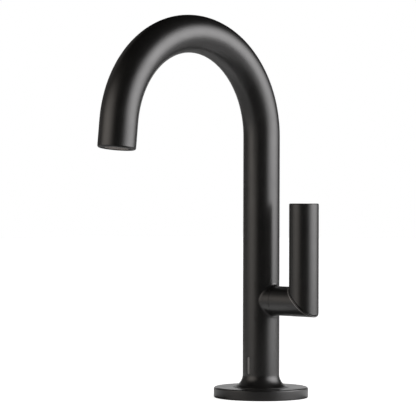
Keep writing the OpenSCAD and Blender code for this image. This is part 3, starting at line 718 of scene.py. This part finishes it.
# %% Spout shell
mouth_round = 1.6 * MM
mouth_inner_round = 0.15 * MM
bend_steps = 72
bend_centre = (0, -arc_r, arc_z)
ring = Ring(socket_r, (0, 0, gasket_t), at=gasket_t)
spout = start("gooseneck_spout", ring, spout_sides)
ring.follow([(spigot_r, gasket_t), (spigot_r, flange_h), (wall_radius(flange_h + foot_lip), flange_h)])
ring.follow([(wall_radius(z), z) for z in flare_rows + wall_rows] + [(tube_r, arc_z)])
ring.spin(bend_steps, arc_turn, bend_centre, at=0)
ring.follow(rounding(tube_r - mouth_round, tail_l - mouth_round, mouth_round, 0, 90))
ring.follow(rounding(bore_r + mouth_inner_round, tail_l - mouth_inner_round, mouth_inner_round, 90, 180, 3))
ring.to(bore_r, 0)
ring.spin(bend_steps, -arc_turn, bend_centre, at=arc_z)
ring.follow([(bore_r, z) for z in reversed(wall_rows)])
ring.follow([(bore_r, socket_top), (socket_r, socket_top), (socket_r, gasket_t)])
merge_doubles()
print("spout shell:", len(bmesh.from_edit_mesh(spout.data).faces), "faces")

# %% [markdown]
# ## Openings in the wall
# A window in a grid of faces has a known number of edges all round. A ring with just as many
# vertices bridges to it with clean four-sided faces, which are then pulled back onto the tube.

# %% Opening helpers
def open_window(toward, half_turn, low, high):
    """Deletes the wall's faces, outer and inner, within a turn about a direction and two heights."""
    mesh = select_none("FACE")
    for face in mesh.faces:
        middle = face.calc_center_median()
        flat = middle.xy
        near = flat.length > 0 and math.degrees(flat.angle(Vector(toward))) < half_turn
        face.select_set(near and low < middle.z < high and flat.length < wall_radius(middle.z) + MM)
    bpy.ops.mesh.delete(type="FACE")
    bpy.ops.mesh.select_mode(type="VERT")


def shape_selected(rule):
    """Moves each selected vertex to where the rule says."""
    mesh = bmesh.from_edit_mesh(bpy.context.object.data)
    for vertex in mesh.verts:
        if vertex.select:
            vertex.co = rule(vertex.co.copy())
    bmesh.update_edit_mesh(bpy.context.object.data)


def patch_wall(radius_at, low, high):
    """Bridges the two open edges that lie on a wall between two heights, and pulls the bridge round."""
    near = 0.02 * MM
    mesh = select_none("EDGE")
    for edge in mesh.edges:
        ends = [v.co for v in edge.verts]
        on_wall = all(abs(p.xy.length - radius_at(p.z)) < near for p in ends)
        edge.select_set(edge.is_boundary and on_wall and all(low - near < p.z < high + near for p in ends))
    count = sum(edge.select for edge in mesh.edges)
    bpy.ops.mesh.bridge_edge_loops(number_cuts=3, interpolation="LINEAR")

    def pull(place):
        place.xy = place.xy.normalized() * radius_at(place.z)
        return place

    shape_selected(pull)
    bpy.ops.mesh.select_mode(type="VERT")
    print("patched a wall opening,", count, "edges")


# %% [markdown]
# ## The neck
# The neck's collar runs into the column with a small rolled fillet, as a casting does. A ball of the
# fillet's radius, rolled along the corner, gives each point of it. Past the collar a slimmer nose
# with two grooves carries the turning lever.

# %% Neck of the spout
root_fillet = 2.5 * MM
nose_r = 10.0 * MM
groove_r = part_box("glide_rings")[1].y - 0.8 * MM
groove_w = 2.4 * MM
groove_starts = (nose_x - MM - groove_w, collar_x + MM)
cartridge_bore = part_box("cartridge_housing")[1].y + 0.1 * MM
collar_round = 0.12 * MM
neck_window = 67.5


def around_neck(place):
    return math.atan2(place.z - neck_z, place.y)


def fillet_point(angle, share):
    """A point of the fillet: at share 0 on the neck, at share 1 on the column."""
    reach = neck_r + root_fillet
    y = reach * math.cos(angle)
    ball = Vector((math.sqrt((tube_r + root_fillet) ** 2 - y * y), y, reach * math.sin(angle)))
    to_neck = Vector((0, -math.cos(angle), -math.sin(angle)))
    to_column = -Vector((ball.x, ball.y, 0)).normalized()
    return ball + root_fillet * to_neck.slerp(to_column, share) + Vector((0, 0, neck_z))


def bore_point(angle):
    """A point where the cartridge's bore breaks through the inner wall."""
    y = cartridge_bore * math.cos(angle)
    return Vector((math.sqrt(bore_r ** 2 - y * y), y, neck_z + cartridge_bore * math.sin(angle)))


open_window((1, 0), neck_window, *neck_rows)
neck_sides = 2 * (round(2 * neck_window / 360 * spout_sides) + len(rows(*neck_rows)) - 1)
ring = Ring(cartridge_bore, (nose_x, 0, neck_z), (1, 0, 0), at=nose_x)
ring.add(neck_sides)
ring.to(nose_r, nose_x)
for x in groove_starts:
    ring.follow([(nose_r, x + groove_w), (groove_r, x + groove_w), (groove_r, x), (nose_r, x)])
ring.to(nose_r, collar_x)
ring.follow(rounding(neck_r - collar_round, collar_x - collar_round, collar_round, 90, 0, 3))
fillet_steps = 8
for i in range(fillet_steps + 1):
    extrude()
    shape_selected(lambda place: fillet_point(around_neck(place), i / fillet_steps))
patch_wall(wall_radius, *neck_rows)

# %% Bore of the neck
mesh = select_none("VERT")
for vertex in mesh.verts:
    off_axis = Vector((vertex.co.y, vertex.co.z - neck_z)).length
    vertex.select_set(abs(vertex.co.x - nose_x) < 0.01 * MM and off_axis < cartridge_bore + 0.1 * MM)
mesh.select_flush(True)
extrude()
shape_selected(lambda place: bore_point(around_neck(place)))
patch_wall(lambda z: bore_r, *neck_rows)

# %% [markdown]
# ## The window's slot
# A slim upright slot low on the front holds the status light and the presence sensor. Its outline is
# a stadium: two straight sides and two round ends. Moving its points towards the middle line makes
# it smaller, which gives the chamfer at the edge.

# %% Slot of the window
lens_low, lens_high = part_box("indicator_lens")
slot_mid = (lens_low.z + lens_high.z) / 2
slot_half_w = lens_high.x + 0.1 * MM
slot_line = (lens_high.z - lens_low.z) / 2 - lens_high.x
slot_chamfer = 0.15 * MM
slot_window = 15
end_steps, side_steps = 12, 13
slot_sides = 2 * (end_steps + side_steps)


def first_outline(place, half_w):
    """Spreads the vertices of a circle over the stadium: round ends, then straight sides."""
    angle = math.atan2(place.z - slot_mid, place.x)
    i = round(angle / math.tau * slot_sides) % slot_sides
    half = -1 if i >= slot_sides / 2 else 1
    i = i % (slot_sides // 2)
    if i <= end_steps:
        turn = math.pi * i / end_steps
        x, z = half_w * math.cos(turn), slot_line + half_w * math.sin(turn)
    else:
        x, z = -half_w, slot_line * (1 - 2 * (i - end_steps) / side_steps)
    return Vector((half * x, place.y, slot_mid + half * z))


def outline(place, half_w):
    """The point of a narrower stadium that is nearest to a point of a wider one."""
    middle = Vector((0, max(-slot_line, min(slot_line, place.z - slot_mid))))
    off = Vector((place.x, place.z - slot_mid)) - middle
    off = off.normalized() * half_w if off.length > 0 else off
    return Vector((off.x, place.y, slot_mid + middle.y + off.y))


def on_front(place, radius):
    place.y = -math.sqrt(radius ** 2 - place.x ** 2)
    return place


open_window((0, -1), slot_window, *window_rows)
ring = Ring(slot_half_w, (0, -tube_r, slot_mid), (0, -1, 0))
ring.add(slot_sides)
outer_half_w = slot_half_w + slot_chamfer
shape_selected(lambda p: first_outline(p, outer_half_w))
shape_selected(lambda p: on_front(p, wall_radius(p.z)))
extrude()
shape_selected(lambda p: on_front(outline(p, slot_half_w), tube_r - slot_chamfer))
extrude()
shape_selected(lambda p: on_front(outline(p, slot_half_w), bore_r))
patch_wall(wall_radius, *window_rows)
patch_wall(lambda z: bore_r, *window_rows)
close_up()
shade(spout)

# %% [markdown]
# ## The base flange
# A turned disc with rounded edges covers the hole in the deck, with a shallow recess underneath for
# its gasket. It has more sides than the tube, because its edge is the widest circle in the picture.

# %% Base flange
flange_round = 1.4 * MM
flange_bore = spigot_r + 0.1 * MM
recess_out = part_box("deck_gasket")[1].x + 0.1 * MM
recess_in = 20.9 * MM
rim = rounding(flange_r - flange_round, flange_h - flange_round, flange_round, 90, 0, 6)
heel = rounding(flange_r - flange_round / 2, flange_round / 2, flange_round / 2, 0, -90, 4)
under = [(recess_out, 0), (recess_out, gasket_t), (recess_in, gasket_t), (recess_in, 0), (flange_bore, 0)]
flange = turned("foot_flange", [(flange_bore, flange_h)] + rim + heel + under, 160)
shade(flange)

# %% [markdown]
# ## The lever
# The lever is one turned bar, cut at 45 degrees and joined again as an L. Its lower arm is a sleeve
# that turns on the spout's nose. Each arm is turned past the mitre, then Bisect cuts it off. The lower
# arm's cut is pulled up a little, so that the seam lies just above the corner of the two tubes. Tiny
# bevels break the sharp edges, as a machinist would.

# %% Mitre helpers
mitre_bevel = 0.4 * MM
seam_bevel = 0.2 * MM
seam_rise = 1.3 * MM
half_gap_rise = mitre_gap / math.sqrt(2)
on_plane = 0.005 * MM


def cut_mitre(piece, side, fill, rise):
    """Cuts a piece off on one side of a plane along the mitre, which lies a rise above it."""
    edit(piece)
    plane = mitre_point + Vector((0, 0, rise))
    bpy.ops.mesh.bisect(plane_co=plane, plane_no=mitre_normal, use_fill=fill,
                        clear_outer=side < 0, clear_inner=side > 0)
    return plane


def select_on_plane(point, outside=0):
    """Selects the edges that lie in a plane along the mitre, beyond a distance from the post's axis."""
    mesh = select_none("EDGE")
    for edge in mesh.edges:
        flat = all(abs((v.co - point).dot(mitre_normal)) < on_plane for v in edge.verts)
        off_axis = max((v.co.xy - point.xy).length for v in edge.verts)
        edge.select_set(flat and off_axis > outside)
    mesh.select_flush_mode()
    bmesh.update_edit_mesh(bpy.context.object.data)


# %% Turning arm of the lever
sleeve_bore = neck_r - 1.4 * MM
hub_x = nose_x + 1 * MM
edge_break = 0.12 * MM
ring = Ring(sleeve_bore, (hub_x, 0, neck_z), (1, 0, 0), at=hub_x)
arm = start("lever_arm", ring, 96, "NGON")
ring.to(sleeve_bore, sleeve_low.x)
ring.follow(rounding(neck_r - edge_break, sleeve_low.x + edge_break, edge_break, -90, 0, 3))
ring.to(neck_r, post_x + 2 * neck_r)
close_up()
crease = cut_mitre(arm, -1, True, 0)
select_on_plane(crease)
lip_rise = Vector((0, 0, seam_rise - half_gap_rise))
extrude(lip_rise)
select_on_plane(crease)
bpy.ops.mesh.bevel(offset=mitre_bevel, segments=3, affect="EDGES")
select_on_plane(crease + lip_rise)
bpy.ops.mesh.bevel(offset=seam_bevel, segments=2, affect="EDGES")
close_up()

# %% Spigot, drive hole and screw holes of the arm
spigot_out = 8.9 * MM
spigot_root = neck_z - 4 * MM
spigot_top = neck_z + 18 * MM
spigot_chamfer = 0.5 * MM
drive_w = 5.8 * MM
drive_back = 2 * MM
drive_end = hub_x + 8.6 * MM
grub_hole = 2.1 * MM
grub_x = hub_x + 5 * MM
post_grub_z = spigot_top - 5 * MM
grub_depth = 2.5 * MM


def along_y(x, z):
    """Places a Z piece along Y, from the lever's axis outwards."""
    return shifted(x, 0, z) @ turned_by(-90)


spigot = rod("spigot", spigot_out, spigot_root, spigot_top, 72, spigot_chamfer)
combine(arm, place(spigot, shifted(post_x)), "UNION")
drive_middle = ((hub_x + drive_end - drive_back) / 2, 0, neck_z)
drive_size = (drive_end - hub_x + drive_back, drive_w, drive_w)
combine(arm, box("drive", drive_middle, drive_size), "DIFFERENCE")
drill(arm, grub_hole, neck_z - 2 * neck_r, neck_z, shifted(grub_x))
drill(arm, grub_hole, spigot_out - grub_depth, neck_r, along_y(post_x, post_grub_z))
shade(arm)

# %% Upright of the lever
post_bore = spigot_out + 0.1 * MM
post_bore_top = neck_z + 46 * MM
post_round = 1 * MM
post_foot = neck_z - 2 * neck_r
ring = Ring(post_bore, (post_x, 0, post_bore_top), at=post_bore_top)
upright = start("lever_upright", ring, 96, "NGON")
ring.follow([(post_bore, post_foot), (neck_r, post_foot)])
ring.follow(rounding(neck_r - post_round, post_high.z - post_round, post_round, 0, 90, 7))
close_up()
plane = cut_mitre(upright, 1, False, seam_rise + half_gap_rise)
select_none("EDGE")
bpy.ops.mesh.select_non_manifold(extend=False)
bpy.ops.mesh.bridge_edge_loops()
select_on_plane(plane, outside=(post_bore + neck_r) / 2)
bpy.ops.mesh.bevel(offset=seam_bevel, segments=2, affect="EDGES")
close_up()
drill(upright, grub_hole, 0, 2 * neck_r, along_y(post_x, post_grub_z))
shade(upright)

# %% [markdown]
# ## Threads and screws
# A thread is one small zigzag of a profile, carried round and up by the Screw modifier. The rod runs
# on past both ends, and Bisect cuts it flat and closes it. The same rod, taken away with a Boolean,
# cuts an inner thread.

# %% Thread helper
hair = 0.0005 * MM


def threaded(name, radius, pitch, depth, low, high, steps=64):
    """A threaded rod along Z between two heights."""
    deselect()
    bpy.ops.mesh.primitive_plane_add(size=1)
    piece = bpy.context.object
    piece.name = piece.data.name = name
    edit(piece)
    bpy.ops.mesh.merge(type="CENTER")
    bpy.ops.transform.translate(value=(radius - depth, 0, low - (2 + 0.4 / steps) * pitch))
    for out, up in ((depth, 0.4), (0, 0.15), (-depth, 0.4), (0, 0.05)):
        extrude((out, 0, up * pitch))
    bpy.ops.object.mode_set(mode="OBJECT")
    turns = math.ceil((high - low) / pitch) + 4
    modify(piece, "SCREW", steps=steps, render_steps=steps, screw_offset=pitch, iterations=turns)
    edit(piece)
    merge_doubles()
    for height, above in ((low, False), (high, True)):
        bpy.ops.mesh.select_all(action="SELECT")
        bpy.ops.mesh.bisect(plane_co=(0, 0, height), plane_no=(0, 0, 1), use_fill=True,
                            clear_inner=not above, clear_outer=above, threshold=hair)
    close_up()
    return piece


# %% [markdown]
# ## The screws that hold the lever
# Two headless screws hold the lever: one presses on the cartridge's square stem from below the neck,
# the other locks the upright from behind. Each is a threaded rod with a hexagon socket.

# %% Grub screws
grub_r, grub_l, grub_pitch, grub_thread = 2 * MM, 5 * MM, 0.7 * MM, 0.3 * MM
grub_chamfer, grub_over = 0.45 * MM, 0.05 * MM
key_r, key_depth = 1.15 * MM, 2 * MM


def grub_screw(name, matrix):
    """A headless screw from Z = -length to 0, with its socket below."""
    piece = threaded(name, grub_r, grub_pitch, grub_thread, -grub_l, 0, 48)
    cone = rod("cone", grub_r + grub_over, -grub_l - grub_over, grub_over, 48, grub_chamfer)
    combine(piece, cone, "INTERSECT")
    drill(piece, key_r, -grub_l - MM, key_depth - grub_l, sides=6)
    place(piece, matrix)
    shade(piece)
    return piece


stem_low, stem_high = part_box("stem_grub_screw")
lock_low, lock_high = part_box("post_grub_screw")
stem_place = shifted((stem_low.x + stem_high.x) / 2, 0, stem_high.z)
lock_place = shifted(post_x, lock_low.y, (lock_low.z + lock_high.z) / 2)
stem_screw = grub_screw("neck_grub_screw", stem_place)
post_screw = grub_screw("upright_grub_screw", lock_place @ turned_by(90))

# %% [markdown]
# ## The window's lens
# The lens fills the slot and follows the column's curve, a hair below its surface. Its outline is
# made smaller in steps until the two sides meet, so the curved face has clean four-sided faces.

# %% Lens
lens_half_w = lens_high.x
rib_half_w, rib_slope = 1.1 * MM, 0.06 * MM
lens_round = 0.12 * MM
lens_front = tube_r - 0.12 * MM
lens_border = tube_r - 0.45 * MM
lens_back = bore_r + 0.1 * MM
lens_levels = [
    (lens_half_w, lens_border), (rib_half_w + rib_slope, lens_border),
    (rib_half_w, lens_front - lens_round),
    (rib_half_w - 0.3 * lens_round, lens_front - 0.3 * lens_round),
    (rib_half_w - lens_round, lens_front), (rib_half_w / 2, lens_front), (0.0, lens_front)]
ring = Ring(lens_half_w, (0, -bore_r, slot_mid), (0, -1, 0))
lens = start("status_lens", ring, slot_sides)
shape_selected(lambda p: on_front(first_outline(p, lens_half_w), lens_back))
for half_w, radius in lens_levels:
    extrude()
    shape_selected(lambda p: on_front(outline(p, half_w), radius))
merge_doubles()
select_none("EDGE")
bpy.ops.mesh.select_non_manifold(extend=False)
bpy.ops.mesh.edge_face_add()
bpy.ops.mesh.select_mode(type="VERT")
close_up()
shade(lens, 40)

# %% [markdown]
# ## The outlet
# The mouth holds an adapter, and the aerator sits in it: a toothed ring with a perforated face, as on
# taps whose aerator is turned with a key. All are turned about Z and then moved into the mouth, which
# leans a little.

# %% Place of the mouth
mouth = shifted(*bend_centre) @ turned_by(bend_degrees) @ shifted(0, arc_r, tail_l) @ turned_by(180)


def scattered(tool, places):
    """One piece made of copies of a tool, each with its own mesh."""
    copies = []
    for matrix in places:
        copy = tool.copy()
        copy.data = tool.data.copy()
        bpy.context.scene.collection.objects.link(copy)
        copies.append(place(copy, matrix))
    bpy.data.objects.remove(tool)
    deselect()
    for copy in copies:
        copy.select_set(True)
    bpy.context.view_layer.objects.active = copies[0]
    bpy.ops.object.join()
    return copies[0]


def turns(count):
    return [Matrix.Rotation(math.tau * i / count, 4, "Z") for i in range(count)]


# %% Outlet adapter
pocket_r, pocket_depth = 10.9 * MM, 13 * MM
adapter_r = bore_r - 0.1 * MM
adapter_l, adapter_recess = 20 * MM, 0.4 * MM
liner_bore, liner_seat, liner_stop = 3.25 * MM, 4.6 * MM, pocket_depth + 3 * MM
lip = 0.3 * MM
adapter = turned("mouth_adapter", barrel(adapter_r, adapter_recess, adapter_l, lip) + [
    (liner_seat, adapter_l), (liner_seat, liner_stop), (liner_bore, liner_stop),
    (liner_bore, pocket_depth), (pocket_r, pocket_depth), (pocket_r, adapter_recess + lip),
    (pocket_r + lip, adapter_recess)])
place(adapter, mouth)
shade(adapter)

# %% Aerator ring
shell_r, shell_in, shell_l = 10.8 * MM, 9.4 * MM, 10.8 * MM
shell_z = 0.25 * MM
ledge_r = shell_in - 1 * MM
face_z, face_t = 0.35 * MM, 1 * MM
ledge_z, upper_ledge_z, seat_z = face_z + face_t, 7.15 * MM, 8.15 * MM
tooth_count, tooth_w, tooth_out = 24, 0.9 * MM, 0.2 * MM
shell = turned("aerator_ring", barrel(shell_r, shell_z, shell_z + shell_l, lip) + [
    (shell_in, shell_z + shell_l), (shell_in, seat_z), (ledge_r, seat_z), (ledge_r, upper_ledge_z),
    (shell_in, upper_ledge_z), (shell_in, ledge_z + MM), (ledge_r, ledge_z + MM), (ledge_r, ledge_z),
    (shell_in, ledge_z), (shell_in, shell_z + lip / 2), (shell_in + lip / 2, shell_z)])
tooth = box("tooth", (shell_in + tooth_out, 0, shell_z), (tooth_w, tooth_w, tooth_w))
combine(shell, scattered(tooth, turns(tooth_count)), "DIFFERENCE")
place(shell, mouth)
shade(shell)

# %% Aerator face
face_r, face_edge = shell_in - 0.1 * MM, 0.15 * MM
hole_r, hole_pitch, hole_edge = 0.75 * MM, 2.3 * MM, 0.22 * MM
face_profile = [(face_r - face_edge, face_z), (face_r, face_z + face_edge), (face_r, face_z + face_t)]
face_plate = turned("aerator_face", face_profile, 96, bored=False)
hole_profile = [(hole_r + 2 * hole_edge, face_z - hole_edge), (hole_r, face_z + hole_edge),
                (hole_r, face_z + 2 * face_t)]
hole = turned("hole", hole_profile, 20, bored=False)
hole_places = [Matrix.Identity(4)]
for ring_number in (1, 2, 3):
    out = shifted(ring_number * hole_pitch)
    hole_places += [turn @ out for turn in turns(6 * ring_number)]
combine(face_plate, scattered(hole, hole_places), "DIFFERENCE")
place(face_plate, mouth)
shade(face_plate)

# %% [markdown]
# ## Under the deck
# A threaded shank hangs from the column. A rubber washer, a steel one and a large nut clamp the deck
# between them and the flange. The hose block closes the shank's lower end, with a thread for each
# hose.

# %% Threaded shank
shank_low, shank_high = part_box("mounting_shank")
shank_r, shank_pitch, shank_depth = shank_high.x, 1.5 * MM, 0.9 * MM
shank_bore = shank_r - tube_wall
shank = threaded("threaded_shank", shank_r, shank_pitch, shank_depth, shank_low.z, shank_high.z, 72)
drill(shank, shank_bore, shank_low.z - MM, shank_high.z + MM, sides=72)
shade(shank)

# %% Washers
washer_gap = 0.3 * MM


def washer(name, node, edge):
    """A turned washer as large as its node."""
    low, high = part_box(node)
    out, inside = high.x - edge, shank_r + washer_gap + edge
    top, bottom = high.z - edge, low.z + edge
    profile = []
    for radius, z, turn in ((out, top, 90), (out, bottom, 0), (inside, bottom, -90), (inside, top, 180)):
        profile += rounding(radius, z, edge, turn, turn - 90, 3)
    piece = turned(name, profile)
    shade(piece)
    return piece


rubber_washer = washer("rubber_washer", "sealing_washer", 0.5 * MM)
steel_washer = washer("steel_washer", "clamp_washer", 0.25 * MM)

# %% Hex nut
nut_low, nut_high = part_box("mounting_nut")
nut_flat = (nut_high.y - nut_low.y) / 2
nut_corner = nut_flat / math.cos(math.radians(30))
chamfer, nut_play = 1.3 * MM, 0.1 * MM
crown_in, crown_out = nut_flat - 0.4 * MM, nut_corner + 0.3 * MM
nut = rod("hex_nut", nut_corner, nut_low.z, nut_high.z, 6)
crown = turned("crown", [(crown_in, nut_low.z), (crown_out, nut_low.z + chamfer),
                         (crown_out, nut_high.z - chamfer), (crown_in, nut_high.z)], 96, bored=False)
combine(nut, crown, "INTERSECT")
thread_start = shank_low.z + math.floor((nut_low.z - shank_low.z) / shank_pitch - 1) * shank_pitch
nut_thread = threaded("thread", shank_r + nut_play, shank_pitch, shank_depth, thread_start,
                      nut_high.z + MM, 72)
combine(nut, nut_thread, "DIFFERENCE")
shade(nut)

# %% Hose block
block_low, block_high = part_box("inlet_block")
block_chamfer = 0.4 * MM
hose_y, cable_x, cable_r = 5.3 * MM, 7.9 * MM, 1.6 * MM
hose_r, hose_pitch, hose_depth, hose_l = 4.9 * MM, 1 * MM, 0.44 * MM, 9 * MM
feed_r, tube_seat_r, tube_seat_l = 2.2 * MM, 3.1 * MM, 4 * MM
below, above = block_low.z - MM, block_high.z + MM
block = rod("hose_block", block_high.x, block_low.z, block_high.z, 96, block_chamfer)
for side in (-1, 1):
    shift = shifted(0, side * hose_y)
    hose_thread = threaded("thread", hose_r, hose_pitch, hose_depth, below, block_low.z + hose_l, 48)
    combine(block, place(hose_thread, shift), "DIFFERENCE")
    drill(block, feed_r, block_low.z + MM, above, shift)
    drill(block, tube_seat_r, block_high.z - tube_seat_l, above, shift)
drill(block, cable_r, below, above, shifted(cable_x), sides=32)
shade(block)

# %% [markdown]
# ## Joining the pieces to the model
# Each new piece stands for a CAD node, rides on that node's body and takes its finish from one of the
# record's slots.

# %% Roles of the pieces
roles = [
    (spout, "spout_body", "faucet", "satin_black"),
    (flange, "base_flange", "faucet", "satin_black"),
    (arm, "lever_sleeve", "lever", "satin_black"),
    (upright, "lever_post", "lever", "satin_black"),
    (stem_screw, "stem_grub_screw", "lever", "steel"),
    (post_screw, "post_grub_screw", "lever", "steel"),
    (lens, "indicator_lens", "faucet", "lens"),
    (adapter, "outlet_adapter", "faucet", "black_trim"),
    (shell, "aerator_shell", "faucet", "black_trim"),
    (face_plate, "aerator_screen", "faucet", "aerator"),
    (shank, "mounting_shank", "faucet", "brass"),
    (rubber_washer, "sealing_washer", "faucet", "rubber"),
    (steel_washer, "clamp_washer", "faucet", "steel"),
    (nut, "mounting_nut", "faucet", "brass"),
    (block, "inlet_block", "faucet", "brass"),
]
for piece, node, body, slot in roles:
    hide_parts(node)
    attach(piece, body)
    dress(finishes[slot], piece)
# The arm's coat carries the painted highlight along the mitre.
dress(painted_highlight_coat, arm)
print(len(roles), "pieces stand for CAD nodes")

# %% Finishes of the other CAD nodes
redrawn = [node for _, node, _, _ in roles]
kept = [part for part in frame["record"]["subparts"] if part["node"] not in redrawn]
for part in kept:
    dress(finishes[part["material_slot"]], bpy.data.objects[part["node"]])
print(len(kept), "CAD nodes keep their shape and get a finish")

# %% [markdown]
# ## The valve's spring
# The solenoid's plunger lifts 2 mm and presses the spring above it against the pole. A rigid piece
# can't follow that, so the spring is given its own copy of its mesh.

# %% Spring of the valve
spring = bpy.data.objects["plunger_spring"]
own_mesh(spring)
